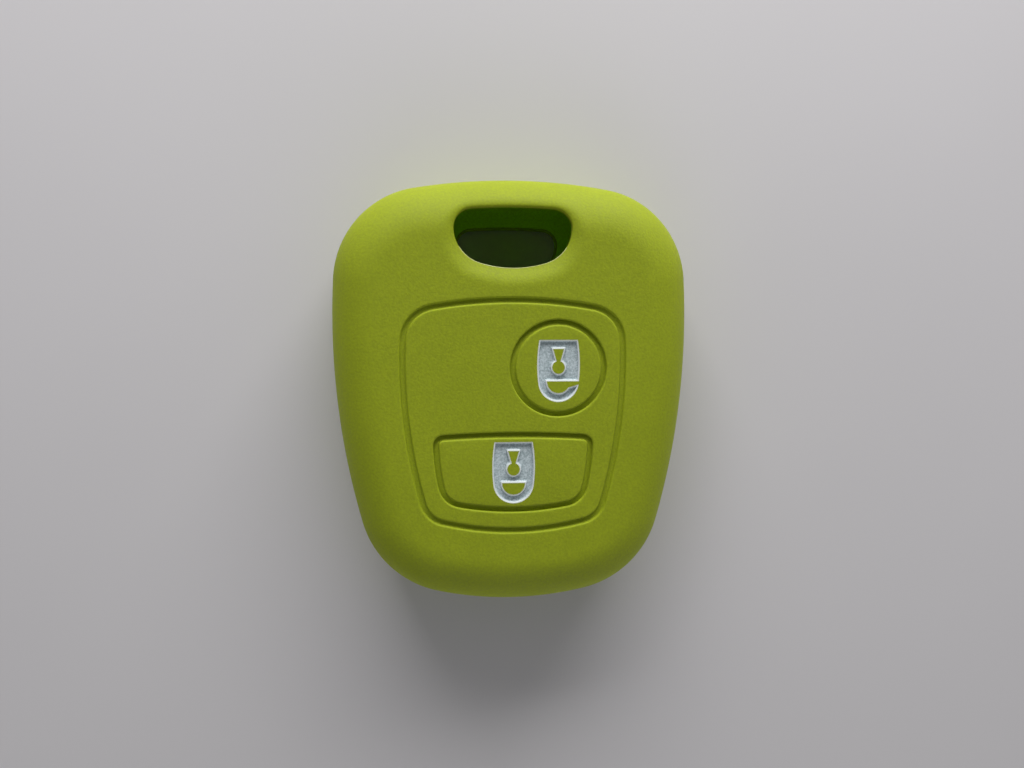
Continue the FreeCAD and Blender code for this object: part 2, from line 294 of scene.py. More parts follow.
def slot_outline(step):
    """The slot's bowl and top arc, with corners between them that meet where the slot is widest."""
    lower_radius = upright_corner(SLOT_BOWL_RADIUS, SLOT_WIDEST_RISE)
    upper_radius = upright_corner(SLOT_TOP_RADIUS, SLOT_TOP - SLOT_WIDEST)
    bowl = np.array([0, SLOT_BOTTOM + SLOT_BOWL_RADIUS])
    top = np.array([0, SLOT_TOP - SLOT_TOP_RADIUS])
    lower = np.array([SLOT_WIDTH / 2 - lower_radius, SLOT_WIDEST])
    upper = np.array([SLOT_WIDTH / 2 - upper_radius, SLOT_WIDEST])
    return arc_chain([
        (bowl, SLOT_BOWL_RADIUS, angle_of(lower - bowl)),
        (lower, lower_radius, 0),
        (upper, upper_radius, angle_of(upper - top)),
        (top, SLOT_TOP_RADIUS, math.pi / 2)], step)


def outward(outline):
    """The direction square to an outline at each of its points."""
    ahead = np.roll(outline, -1, 0) - outline
    ahead /= np.linalg.norm(ahead, axis=1)[:, None]
    along = ahead + np.roll(ahead, 1, 0)
    along /= np.linalg.norm(along, axis=1)[:, None]
    return np.column_stack([along[:, 1], -along[:, 0]])


def offset(outline, by):
    """A parallel outline, further out by this much."""
    return outline + by * outward(outline)


def inside(outline, points):
    """Which points lie inside an outline."""
    start, end = outline, np.roll(outline, -1, 0)
    x, y = points[:, :1], points[:, 1:]
    crossed = (start[:, 1] > y) != (end[:, 1] > y)
    rise = np.where(start[:, 1] == end[:, 1], 1, end[:, 1] - start[:, 1])
    crossing = start[:, 0] + (y - start[:, 1]) * (end[:, 0] - start[:, 0]) / rise
    return (crossed & (x < crossing)).sum(1) % 2 == 1


def distance(outline, points):
    """How far points lie from an outline, where those that only rounding keeps off it count as on it."""
    run = np.roll(outline, -1, 0) - outline
    nearest = []
    for part in np.array_split(points, len(points) // BATCH + 1):
        to = part[:, None] - outline
        share = np.clip((to * run).sum(2) / (run ** 2).sum(1), 0, 1)
        nearest.append(np.linalg.norm(to - share[..., None] * run, axis=2).min(1))
    nearest = np.concatenate(nearest)
    return np.where(nearest < ON_OUTLINE, 0, nearest)


def dense(outline, step):
    """An outline with its long straight runs divided."""
    points = []
    for start, end in zip(outline, np.roll(outline, -1, 0)):
        count = max(1, round(np.linalg.norm(end - start) / step))
        points += [start + (end - start) * i / count for i in range(count)]
    return np.array(points)


def followed(outline, by):
    """A parallel outline, without the points that a corner crowds out."""
    least_share = 0.97
    moved = offset(outline, by)
    return moved[distance(outline, moved) > least_share * abs(by)]


cover = shield_outline(COVER, COVER_STEP)
panel = shield_outline(PANEL, GROOVE_STEP)
lock = shield_outline(LOCK, GROOVE_STEP)
unlock = arc_points(UNLOCK_CENTRE, UNLOCK_RADIUS, 0, 2 * math.pi, GROOVE_STEP)
slot = slot_outline(GROOVE_STEP)
rear_slot = offset(slot, -REAR_SLOT_INSET) - [0, REAR_SLOT_DROP]
pocket = offset(cover, -SIDE_WALL)


# Patches of a skin: arrays of points in space, and faces as lists of their numbers

def lifted(points, height):
    return np.column_stack([points, np.broadcast_to(height, len(points))])


def triangulated(outlines, keep):
    """Triangles between plane outlines, where keep() holds for their centres, and the point each corner
    came from. A row of NaN is no point and opens its outline there."""
    points, links = [], []
    for outline in outlines:
        present = ~np.isnan(outline[:, 0])
        number = (len(points) + np.cumsum(present) - 1).tolist()
        following = np.roll(np.arange(len(outline)), -1)
        links += [(number[i], number[j]) for i, j in enumerate(following) if present[i] and present[j]]
        points += outline[present].tolist()
    corners, _, faces, sources, _, _ = delaunay_2d_cdt(
        [Vector(point) for point in points], links, [], 0, SAME_POINT)
    corners = np.array([corner[:] for corner in corners])
    faces = np.array(faces)
    return corners, faces[keep(corners[faces].mean(1))], sources


def filled(outline, holes, height):
    """Flat faces inside an outline, at one height, with holes left out."""
    corners, faces, _ = triangulated(
        [outline, *holes],
        lambda at: inside(outline, at) & ~np.any([inside(hole, at) for hole in holes], axis=0))
    return lifted(corners, height), faces


def band(rings, closed=True):
    """Faces between rings of equally many points."""
    count = len(rings[0])
    last = count if closed else count - 1
    faces = [(r * count + i, r * count + (i + 1) % count,
              (r + 1) * count + (i + 1) % count, (r + 1) * count + i)
             for r in range(len(rings) - 1) for i in range(last)]
    return np.concatenate(rings), faces


def rounding(start, corner, end, steps):
    """Section of a quarter round that leaves start and reaches end, both aimed at the corner."""
    start, corner, end = (np.array(point) for point in (start, corner, end))
    middle = start + end - corner
    turns = np.linspace(0, math.pi / 2, steps + 1)[:, None]
    return middle + (start - middle) * np.cos(turns) + (end - middle) * np.sin(turns)


def round_offsets(reach, steps):
    """Distances of evenly turned points across a quarter round, from its steep to its flat end."""
    return reach * (1 - np.cos(np.linspace(0, math.pi / 2, steps + 1)))


# Nodes, curves and meshes

def add(tree, kind, inputs=(), **settings):
    """Adds a node with its settings. Each input is a value, or an output of another node to link."""
    node = tree.nodes.new(kind)
    for name, value in settings.items():
        setattr(node, name, value)
    for name, value in dict(inputs).items():
        if isinstance(value, bpy.types.NodeSocket):
            tree.links.new(value, node.inputs[name])
        else:
            node.inputs[name].default_value = value
    return node


def section_tree():
    """Geometry Nodes that draw a section along a path, for everything that is moulded along an outline."""
    tree = bpy.data.node_groups.new("moulded_section", "GeometryNodeTree")
    sockets = {"Path": "Object", "Section": "Object", "Capped": "Bool", "Material": "Material"}
    for name, kind in sockets.items():
        tree.interface.new_socket(name, in_out="INPUT", socket_type="NodeSocket" + kind)
    tree.interface.new_socket("Geometry", in_out="OUTPUT", socket_type="NodeSocketGeometry")
    given = add(tree, "NodeGroupInput")
    path = add(tree, "GeometryNodeObjectInfo", {"Object": given.outputs["Path"]})
    section = add(tree, "GeometryNodeObjectInfo", {"Object": given.outputs["Section"]})
    drawn = add(tree, "GeometryNodeCurveToMesh", {
        "Curve": path.outputs["Geometry"], "Profile Curve": section.outputs["Geometry"],
        "Fill Caps": given.outputs["Capped"]})
    whole = add(tree, "GeometryNodeRealizeInstances", {"Geometry": drawn.outputs["Mesh"]})
    dressed = add(tree, "GeometryNodeSetMaterial", {
        "Geometry": whole.outputs["Geometry"], "Material": given.outputs["Material"]})
    add(tree, "NodeGroupOutput", {"Geometry": dressed.outputs["Geometry"]})
    return tree


def straight_run_curve(name, points, closed):
    """A curve object of straight runs through points in space."""
    data = bpy.data.curves.new(name, "CURVE")
    data.dimensions = "3D"
    data.twist_mode = "Z_UP"
    spline = data.splines.new("POLY")
    spline.points.add(len(points) - 1)
    spline.points.foreach_set("co", np.column_stack([points * MM, np.ones(len(points))]).ravel())
    spline.use_cyclic_u = closed
    curve = bpy.data.objects.new(name, data)
    bpy.context.scene.collection.objects.link(curve)
    return curve


def swept(outline, section, height=0, open_path=False, bead=False):
    """The patch that a section leaves along an outline. A bead is a closed section with capped ends."""
    section = np.asarray(section, float)
    path = straight_run_curve("path", lifted(outline, height), not open_path)
    profile = straight_run_curve("section", lifted(section * [1, -1], 0), bead)
    host = bpy.data.objects.new("moulded_section", bpy.data.meshes.new("moulded_section"))
    bpy.context.scene.collection.objects.link(host)
    modifier = host.modifiers.new("moulded_section", "NODES")
    modifier.node_group = SECTION_TREE
    for name, value in (("Path", path), ("Section", profile), ("Capped", bead), ("Material", SILICONE)):
        modifier[SECTION_TREE.interface.items_tree[name].identifier] = value
    depsgraph = bpy.context.evaluated_depsgraph_get()
    mesh = bpy.data.meshes.new_from_object(host.evaluated_get(depsgraph), depsgraph=depsgraph)
    points = np.array([vertex.co for vertex in mesh.vertices]) / MM
    faces = [tuple(face.vertices) for face in mesh.polygons]
    for helper in (host, path, profile):
        bpy.data.objects.remove(helper)
    return points, faces


def skin(name, patches, material, inner_patches=(), crease=32):
    """A closed mesh object out of patches that meet edge to edge, with its inner ones marked as such. Edges
    that turn by more than the crease, in degrees, stay sharp."""
    shell = bmesh.new()
    within = shell.faces.layers.float.new(INNER_SIDE)
    for side, group in ((0.0, patches), (1.0, inner_patches)):
        for points, faces in group:
            corners = [shell.verts.new(Vector(point) * MM) for point in points]
            for face in faces:
                shell.faces.new([corners[i] for i in face])[within] = side
    bmesh.ops.delete(shell, geom=[v for v in shell.verts if not v.link_faces], context="VERTS")
    bmesh.ops.remove_doubles(shell, verts=shell.verts, dist=WELD_GAP * MM)
    bmesh.ops.recalc_face_normals(shell, faces=shell.faces)
    mesh = bpy.data.meshes.new(name)
    shell.to_mesh(mesh)
    shell.free()
    mesh.shade_smooth()
    mesh.set_sharp_from_angle(angle=math.radians(crease))
    mesh.materials.append(material)
    piece = bpy.data.objects.new(name, mesh)
    bpy.context.scene.collection.objects.link(piece)
    return piece


# Materials

def linear(hex_colour):
    """An sRGB hex colour as linear red, green, blue and alpha."""
    channels = [int(hex_colour[i:i + 2], 16) / 255 for i in (1, 3, 5)]
    return [c / 12.92 if c <= 0.04045 else ((c + 0.055) / 1.055) ** 2.4 for c in channels] + [1.0]


def per(size):
    """Texture scale at which one feature is about this many millimetres across."""
    return 1 / (size * MM)


def new_material(name):
    material = bpy.data.materials.new(name)
    material.use_nodes = True
    material.node_tree.nodes.clear()
    return material, material.node_tree


def moulded_silicone():
    """Silicone rubber from a spark-eroded mould: satin matt, a fine even grain, softly clouded in tone, with
    a trace of haze at a low angle. Inside it is painted a brighter, fresher green: painted light that stands
    in for the green light bouncing round in the pocket."""
    material, tree = new_material("moulded_silicone")
    place = add(tree, "ShaderNodeTexCoord").outputs["Object"]
    clouds = add(tree, "ShaderNodeTexNoise", {"Vector": place, "Scale": per(7), "Detail": 3.0})
    tone = add(tree, "ShaderNodeMix", {
        "Factor": clouds.outputs["Fac"], "A": linear("#98A616"), "B": linear("#A2B01A")}, data_type="RGBA")
    # Faces inside the cover get a brighter green, a painted glow of the light that bounces round in the
    # pocket
    within = add(tree, "ShaderNodeAttribute", attribute_name=INNER_SIDE).outputs["Fac"]
    with_inner_bounce_glow = add(tree, "ShaderNodeMix", {
        "Factor": within, "A": tone.outputs["Result"], "B": linear("#BCEA08")}, data_type="RGBA")
    # The mould's grain is about 0.05 mm, drawn coarser so that it shows
    grain = add(tree, "ShaderNodeTexNoise", {"Vector": place, "Scale": per(0.3), "Detail": 2.0})
    pits = add(tree, "ShaderNodeMapRange", {
        "Value": grain.outputs["Fac"], "From Min": 0.3, "From Max": 0.7, "To Min": 0.9, "To Max": 1.1})
    colour = add(tree, "ShaderNodeMix", {
        "Factor": 1.0, "A": with_inner_bounce_glow.outputs["Result"], "B": pits.outputs["Result"]},
        data_type="RGBA", blend_type="MULTIPLY")
    ripple = add(tree, "ShaderNodeTexNoise", {"Vector": place, "Scale": per(2.5), "Detail": 1.0})
    low_bump = add(tree, "ShaderNodeBump", {
        "Height": ripple.outputs["Fac"], "Strength": 0.15, "Distance": 0.05 * MM})
    bump = add(tree, "ShaderNodeBump", {
        "Height": grain.outputs["Fac"], "Strength": 0.6, "Distance": 0.05 * MM,
        "Normal": low_bump.outputs["Normal"]})
    gloss = add(tree, "ShaderNodeMapRange", {
        "Value": grain.outputs["Fac"], "From Min": 0.3, "From Max": 0.7, "To Min": 0.62, "To Max": 0.76})
    shader = add(tree, "ShaderNodeBsdfPrincipled", {
        "Base Color": colour.outputs["Result"], "Roughness": gloss.outputs["Result"], "IOR": 1.4,
        "Sheen Weight": 0.02, "Sheen Roughness": 0.4, "Sheen Tint": linear("#E9EDC8"),
        "Subsurface Weight": 0.35, "Subsurface Radius": (0.9, 1.0, 0.15), "Subsurface Scale": 0.5 * MM,
        "Normal": bump.outputs["Normal"]})
    add(tree, "ShaderNodeOutputMaterial", {"Surface": shader.outputs["BSDF"]})
    return material


def flash_and_glint():
    """Silicone that crept into the mould's joint as a film, torn unevenly, and coloured pale to near white:
    a painted highlight, the glint along the edge of the slot's lip."""
    material, tree = new_material("flash_and_glint")
    place = add(tree, "ShaderNodeTexCoord").outputs["Object"]
    tears = add(tree, "ShaderNodeTexNoise", {"Vector": place, "Scale": per(1.5), "Detail": 2.0})
    # Pale green to near white: a painted glint along the lip's edge, broken up by the tears
    colour = add(tree, "ShaderNodeMix", {
        "Factor": tears.outputs["Fac"], "A": linear("#C2CC5C"), "B": linear("#EFF3B8")}, data_type="RGBA")
    shader = add(tree, "ShaderNodeBsdfPrincipled", {
        "Base Color": colour.outputs["Result"], "Roughness": 0.55, "IOR": 1.4})
    add(tree, "ShaderNodeOutputMaterial", {"Surface": shader.outputs["BSDF"]})
    return material


def sign_ink():
    """White silicone ink, filled into the recess by hand: thin and speckled blue-grey on the floor and low
    on the walls, and whiter up to a clean white along their upper edge: partly ink built up thicker there,
    partly a painted highlight along the outlines."""
    material, tree = new_material("sign_ink")
    place = add(tree, "ShaderNodeTexCoord").outputs["Object"]
    mottle = add(tree, "ShaderNodeTexNoise", {
        "Vector": place, "Scale": per(0.25), "Detail": 3.0, "Roughness": 0.65})
    speck = add(tree, "ShaderNodeMapRange", {
        "Value": mottle.outputs["Fac"], "From Min": 0.35, "From Max": 0.65})
    thin = add(tree, "ShaderNodeMix", {
        "Factor": speck.outputs["Result"], "A": linear("#A2B3B6"), "B": linear("#DCE8EC")},
        data_type="RGBA")
    height = add(tree, "ShaderNodeSeparateXYZ", {"Vector": place}).outputs["Z"]
    # Whiter with height up the walls: partly thicker ink, partly a painted highlight along every outline
    thick_ink_and_painted_highlight = add(tree, "ShaderNodeMapRange", {
        "Value": height,
        "From Min": (FACE - PAINT_SINK / 2) * MM, "From Max": (FACE - PAINT_SHELF_DROP) * MM})
    colour = add(tree, "ShaderNodeMix", {
        "Factor": thick_ink_and_painted_highlight.outputs["Result"], "A": thin.outputs["Result"], "B": linear("#F1F6F4")},
        data_type="RGBA")
    bump = add(tree, "ShaderNodeBump", {
        "Height": mottle.outputs["Fac"], "Strength": 0.4, "Distance": 0.04 * MM})
    shader = add(tree, "ShaderNodeBsdfPrincipled", {
        "Base Color": colour.outputs["Result"], "Roughness": 0.5, "IOR": 1.43,
        "Normal": bump.outputs["Normal"]})
    add(tree, "ShaderNodeOutputMaterial", {"Surface": shader.outputs["BSDF"]})
    return material


def pale_floor():
    """Matt painted board, faintly clouded, which takes the cover's soft shadow."""
    material, tree = new_material("pale_floor")
    place = add(tree, "ShaderNodeTexCoord").outputs["Object"]
    clouds = add(tree, "ShaderNodeTexNoise", {"Vector": place, "Scale": per(60), "Detail": 2.0})
    tone = add(tree, "ShaderNodeMix", {
        "Factor": clouds.outputs["Fac"], "A": linear("#DAD7D9"), "B": linear("#E0DDDF")}, data_type="RGBA")
    shader = add(tree, "ShaderNodeBsdfPrincipled", {"Base Color": tone.outputs["Result"], "Roughness": 0.8})
    add(tree, "ShaderNodeOutputMaterial", {"Surface": shader.outputs["BSDF"]})
    return material


SILICONE = moulded_silicone()
FLASH_AND_GLINT = flash_and_glint()
INK = sign_ink()
SECTION_TREE = section_tree()


# The cover

def rim_height(depth, reach, spring, rise):
    """Height of a rounded rim at a distance inside its outline."""
    short = 1 - np.minimum(depth / reach, 1)
    return spring + rise * np.sqrt(1 - short ** 2)


def rim_reach(points):
    """How far the front rim's rounding reaches in, further at both ends than at the sides."""
    low, high = cover_low[1], cover_high[1]
    return np.interp(
        points[:, 1], [low, low + END_RUN, high - END_RUN, high],
        [BLADE_END_REACH, FRONT_ROUND, FRONT_ROUND, RING_END_REACH])


def along_slot(points, below, above):
    """A size of the slot's lip that changes from the slot's lower to its upper end."""
    return np.interp(points[:, 1], [SLOT_BOTTOM, SLOT_TOP], [below, above])


def lip_reach(points):
    return along_slot(points, SLOT_LIP_REACH_BELOW, SLOT_LIP_REACH_ABOVE)


def lip_drop(points):
    """How deep the slot's lip lies below the face: below the slot a bevel eased into the face, and above it
    a quarter round."""
    near = np.clip(1 - distance(slot, points) / lip_reach(points), 0, 1)
    eased = np.where(near < BEVEL_EASE, near ** 2 / (2 * BEVEL_EASE), near - BEVEL_EASE / 2)
    bevel = SLOT_LIP_DROP_BELOW * eased / (1 - BEVEL_EASE / 2)
    quarter_round = SLOT_LIP_DROP_ABOVE * (1 - np.sqrt(1 - near ** 2))
    return bevel + along_slot(points, 0, 1) * (quarter_round - bevel)


def face_height(points):
    """The button face outside the panel: flat, rounded off to the outline and dropped to the slot."""
    rim = rim_height(distance(cover, points), rim_reach(points), FRONT_SPRING, FRONT_ROUND)
    return rim - lip_drop(points)


def ceiling_height(points):
    """The pocket's ceiling, rounded off to its side walls."""
    return rim_height(
        distance(pocket, points), POCKET_FRONT_ROUND, CEILING - POCKET_FRONT_ROUND, POCKET_FRONT_ROUND)


def clear_of_slot(ring, room):
    """A ring of points with NaN for those in the slot or closer to it than this."""
    crowded = inside(slot, ring) | (distance(slot, ring) < room)
    return np.where(crowded[:, None], np.nan, ring)


def front_face():
    """The button face outside the panel, on rings of points along its rim and along the slot's lip."""
    rim_shares = [*round_offsets(1, steps=15), RIM_LEAD]
    lip_shares = [*round_offsets(1, steps=10), LIP_LEAD]
    rim = [offset(cover, -rim_reach(cover)[:, None] * share) for share in rim_shares]
    lip = [offset(slot, lip_reach(slot)[:, None] * share) for share in lip_shares]
    groove_edge = offset(panel, GROOVE_REACH)
    rings = [clear_of_slot(ring, LIP_ROOM * lip_reach(ring)) for ring in rim]
    corners, faces, _ = triangulated(
        [*rings, *lip, groove_edge],
        lambda at: inside(cover, at) & ~inside(slot, at) & ~inside(groove_edge, at))
    return lifted(corners, face_height(corners)), faces


def ceiling():
    """The pocket's ceiling, open at the slot and at both buttons."""
    depths = [*round_offsets(POCKET_FRONT_ROUND, steps=9), POCKET_FRONT_ROUND + WIDE_LEAD]
    rings = [clear_of_slot(offset(pocket, -depth), NARROW_LEAD) for depth in depths]
    holes = [slot, offset(unlock, HALF_GROOVE), offset(lock, HALF_GROOVE)]
    corners, faces, _ = triangulated(
        [*rings, *holes],
        lambda at: inside(pocket, at) & ~np.any([inside(hole, at) for hole in holes], axis=0))
    return lifted(corners, ceiling_height(corners)), faces


def slot_throat():
    """The slot's wall, from its lip down to the pocket's ceiling."""
    top, low = face_height(slot), ceiling_height(slot)
    return band([lifted(slot, top + (low - top) * share) for share in (0, 0.2, 0.8, 1)])


def groove_shoulder():
    """Section of the rounded upper edge of a groove's bank."""
    return rounding(
        (GROOVE_SHOULDER, FACE), (HALF_GROOVE, FACE), (HALF_GROOVE, FACE - GROOVE_EDGE), steps=6)


def groove_foot():
    """Section of the rounded foot of a groove's bank."""
    foot = HALF_GROOVE - GROOVE_DRAFT
    return rounding(
        (foot, GROOVE_FLOOR + GROOVE_FOOT), (foot, GROOVE_FLOOR), (foot - GROOVE_FOOT, GROOVE_FLOOR),
        steps=3)


def panel_groove():
    """The groove round the panel, with a bank to each side of its middle line."""
    bank = np.concatenate([[(GROOVE_REACH, FACE)], groove_shoulder(), groove_foot()])
    return swept(panel, np.concatenate([bank, mirrored(bank)]))


def panel_face():
    """The panel's flat face, open at both buttons."""
    buttons = [offset(unlock, GROOVE_REACH), offset(lock, GROOVE_REACH)]
    return filled(offset(panel, -GROOVE_REACH), buttons, FACE)


def button_hole(outline):
    """The outer bank of a button's groove, which goes on as the wall of the hole that the button fills."""
    return swept(outline, [
        (GROOVE_REACH, FACE), *groove_shoulder(),
        (HALF_GROOVE, CEILING + NARROW_LEAD), (HALF_GROOVE, CEILING)])


def back_face():
    """The flat back with its rounded edge, and the slot through it into the pocket."""
    rim = swept(cover, [
        *rounding((0, REAR_SPRING), (0, 0), (-REAR_ROUND, 0), steps=10), (-REAR_ROUND - WIDE_LEAD, 0)])
    slot_edge = REAR_LIP_REACH + NARROW_LEAD
    lip = swept(rear_slot, [
        (slot_edge, 0), *rounding((REAR_LIP_REACH, 0), (0, 0), (0, REAR_LIP_DROP), steps=8),
        *rounding((0, POCKET_FLOOR - INNER_EDGE), (0, POCKET_FLOOR), (INNER_EDGE, POCKET_FLOOR), steps=3),
        (INNER_EDGE + NARROW_LEAD, POCKET_FLOOR)])
    flat = filled(offset(cover, -REAR_ROUND - WIDE_LEAD), [offset(rear_slot, slot_edge)], 0)
    return [rim, lip, flat]


def pocket_floor():
    """The pocket's floor with its rounded edge, open at the slot in the back."""
    reach = -SIDE_WALL - POCKET_REAR_ROUND
    rim = swept(cover, [
        *rounding((-SIDE_WALL, POCKET_FLOOR + POCKET_REAR_ROUND), (-SIDE_WALL, POCKET_FLOOR),
                  (reach, POCKET_FLOOR), steps=6),
        (reach - WIDE_LEAD, POCKET_FLOOR)])
    flat = filled(
        offset(cover, reach - WIDE_LEAD), [offset(rear_slot, INNER_EDGE + NARROW_LEAD)], POCKET_FLOOR)
    return [rim, flat]


def cover_runs():
    """Distance of each outline point from the middle of the blade end, along the outline to both sides."""
    steps = np.linalg.norm(np.roll(cover, -1, 0) - cover, axis=1)
    runs = np.cumsum(steps) - steps
    return np.where(runs > steps.sum() / 2, runs - steps.sum(), runs)


def on_side(run, height, depth):
    """Points on the side wall: along the outline, up and inwards."""
    runs = cover_runs()
    order = np.argsort(runs)
    directions = outward(cover)
    x, y, across, along = (
        np.interp(run, runs[order], values[order]) for values in (*cover.T, *directions.T))
    return np.column_stack([x - depth * across, y - depth * along, np.broadcast_to(height, len(x))])


def mouth_outline():
    """The mouth in the blade end, round at both sides, as (run along the outline, height)."""
    radius = MOUTH_HEIGHT / 2
    half = MOUTH_WIDTH / 2 - radius
    ends = np.concatenate([
        arc_points((half, PARTING), radius, -math.pi / 2, math.pi / 2, GROOVE_STEP),
        [(half, PARTING + radius)],
        arc_points((-half, PARTING), radius, math.pi / 2, 3 * math.pi / 2, GROOVE_STEP),
        [(-half, PARTING - radius)]])
    return dense(ends, COVER_STEP)


def side_wall(low, high, depth, mouth_rings, ring_depths):
    """One face of the side wall from a low to a high edge, with the mouth's rings let into it."""
    runs = cover_runs()
    rows = np.array([low, low + WIDE_LEAD, high - WIDE_LEAD, high])
    beside = [i for i in range(len(runs)) if abs(runs[i]) >= MOUTH_REACH]
    mouth_columns = np.sort(runs[np.abs(runs) < MOUTH_REACH])
    left, right = runs[beside[-1]], runs[beside[0]]
    blank = np.concatenate([
        lifted(np.array([[left], *mouth_columns[:, None], [right]]), low),
        np.column_stack([np.full(2, right), rows[1:3]]),
        lifted(np.array([[right], *mouth_columns[::-1, None], [left]]), high),
        np.column_stack([np.full(2, left), rows[2:0:-1]])])
    corners, faces, sources = triangulated(
        [blank, *mouth_rings], lambda at: inside(blank, at) & ~inside(mouth_rings[0], at))
    depths = np.concatenate([
        np.full(len(ring), into) for ring, into in zip([blank, *mouth_rings], [depth, *ring_depths])])
    into = depths[[source[0] for source in sources]]
    plain = band([on_side(runs[beside], height, depth) for height in rows], closed=False)
    return [(on_side(corners[:, 0], corners[:, 1], into), faces), plain]


def outer_sides():
    """The straight outer side wall, with the lip and throat of the mouth."""
    mouth = mouth_outline()
    spread = round_offsets(MOUTH_LIP, steps=6)
    rings = [offset(mouth, by) for by in [*spread, MOUTH_LIP + NARROW_LEAD / 2]]
    depths = [*spread[::-1], 0]
    throat = band([
        on_side(mouth[:, 0], mouth[:, 1], depth)
        for depth in (MOUTH_LIP, MOUTH_LIP + NARROW_LEAD, SIDE_WALL - NARROW_LEAD, SIDE_WALL)])
    return [*side_wall(REAR_SPRING, FRONT_SPRING, 0, rings, depths), throat]


def inner_sides():
    """The pocket's side wall, open at the mouth."""
    return side_wall(
        POCKET_FLOOR + POCKET_REAR_ROUND, CEILING - POCKET_FRONT_ROUND, SIDE_WALL,
        [mouth_outline()], [SIDE_WALL])


def key_cover():
    """The whole moulding without its press pads."""
    outer = [
        front_face(), panel_groove(), panel_face(), button_hole(unlock), button_hole(lock),
        slot_throat(), *back_face(), *outer_sides()]
    inner = [ceiling(), *pocket_floor(), *inner_sides()]
    piece = skin("key_cover", outer, SILICONE, inner)
    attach(piece, "cover")
    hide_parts("front_shell", "rear_shell", "keypad_panel", "panel_web")


def round_bead(radius, corners=10):
    """Section of a round bead."""
    turns = np.arange(corners) * 2 * math.pi / corners
    return radius * np.column_stack([np.cos(turns), np.sin(turns)])


def parting_line():
    """The fine flash where the mould's halves meet, along the outline to both sides of the mouth."""
    section = round_bead(PARTING_RADIUS) + [PARTING_PROUD - PARTING_RADIUS, 0]
    beside = np.abs(cover_runs()) > MOUTH_WIDTH / 2 + MOUTH_LIP
    line = swept(cover[beside], section, height=PARTING, open_path=True, bead=True)
    piece = skin("parting_line", [line], SILICONE, crease=60)
    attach(piece, "cover")


def slot_flash():
    """The film of flash that is left on the bowl of the slot, along the edge of its lip. Its pale colour is
    a painted glint on the lip's edge.
    """
    from_top = np.roll(slot, len(slot) // 2, 0)
    edge = from_top[from_top[:, 1] < SLOT_BOTTOM + FLASH_RISE]
    height = face_height(edge) - FLASH_RADIUS / 2
    film = swept(edge, round_bead(FLASH_RADIUS), height, open_path=True, bead=True)
    piece = skin("slot_flash", [film], FLASH_AND_GLINT, crease=60)
    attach(piece, "cover")


# The buttons and their signs

def padlock_half(by, start_height):
    """Right half of a padlock's outline, from a height down to its lowest point."""
    radius = SIGN_SIDE_RADIUS + by
    low = -SIGN_HEIGHT - by
    side = np.array([SIGN_WIDTH / 2 - SIGN_SIDE_RADIUS, -SIGN_WIDEST])
    fall = low - side[1]
    bowl_radius = (radius ** 2 - side[0] ** 2 - fall ** 2) / (2 * (fall + radius))
    bowl = np.array([0, low + bowl_radius])
    meeting = angle_of(bowl - side)
    half = np.concatenate([
        arc_points(side, radius, math.asin(SIGN_WIDEST / radius), meeting, SIGN_STEP),
        arc_points(bowl, bowl_radius, meeting, -math.pi / 2, SIGN_STEP), [(0, low)]])
    start = np.interp(start_height, half[::-1, 1], half[::-1, 0])
    return np.concatenate([[(start, start_height)], half[half[:, 1] < start_height - SIGN_STEP / 2]])


def closed_padlock():
    right = padlock_half(0, 0)[::-1]
    return np.concatenate([right, mirrored(right)[:-1]])


def shackle_space():
    right = padlock_half(-SHACKLE_BAR, -PADLOCK_BODY)[::-1]
    return np.concatenate([right, mirrored(right)[:-1]])


def open_padlock():
    """One outline round the body, the standing side of the shackle and its hook, with a gap at the right."""
    side = padlock_half(0, 0)
    hook_outside = padlock_half(0, -PADLOCK_BODY - HOOK_OUTER_GAP)[::-1]
    hook_inside = padlock_half(-SHACKLE_BAR, -PADLOCK_BODY - HOOK_INNER_GAP)
    standing_inside = mirrored(padlock_half(-SHACKLE_BAR, -PADLOCK_BODY))[1:]
    body_corner = padlock_half(0, -PADLOCK_BODY)[:1]
    body_side = side[side[:, 1] > -PADLOCK_BODY + SIGN_STEP / 2][::-1]
    return np.concatenate([
        hook_outside, hook_inside, standing_inside, body_corner, body_side, mirrored(side[::-1])[:-1]])


def keyhole():
    """A round hole with a flared slot above it."""
    centre = np.array([0, -KEYHOLE_DROP])
    wide = np.array([FLARE_WIDTH / 2, -FLARE_DROP])
    neck = np.array([FLARE_NECK / 2, -KEYHOLE_DROP])
    ahead = neck - wide
    to = wide - centre
    a, b, c = ahead @ ahead, to @ ahead, to @ to - KEYHOLE_RADIUS ** 2
    meeting = wide + ahead * (-b - math.sqrt(b * b - a * c)) / a
    turn = angle_of(meeting - centre)
    circle = arc_points(centre, KEYHOLE_RADIUS, math.pi - turn, 2 * math.pi + turn, SIGN_STEP)
    return np.concatenate([[wide, wide * [-1, 1]], circle, [meeting]])


def sign_outlines(is_open):
    """The painted field's outline, and the green islands in it."""
    if is_open:
        place, field, islands = UNLOCK_SIGN_TOP, open_padlock(), [keyhole()]
    else:
        place, field, islands = LOCK_SIGN_TOP, closed_padlock(), [keyhole(), shackle_space()]
    return dense(field, SIGN_STEP) + place, [dense(island, SIGN_STEP) + place for island in islands]


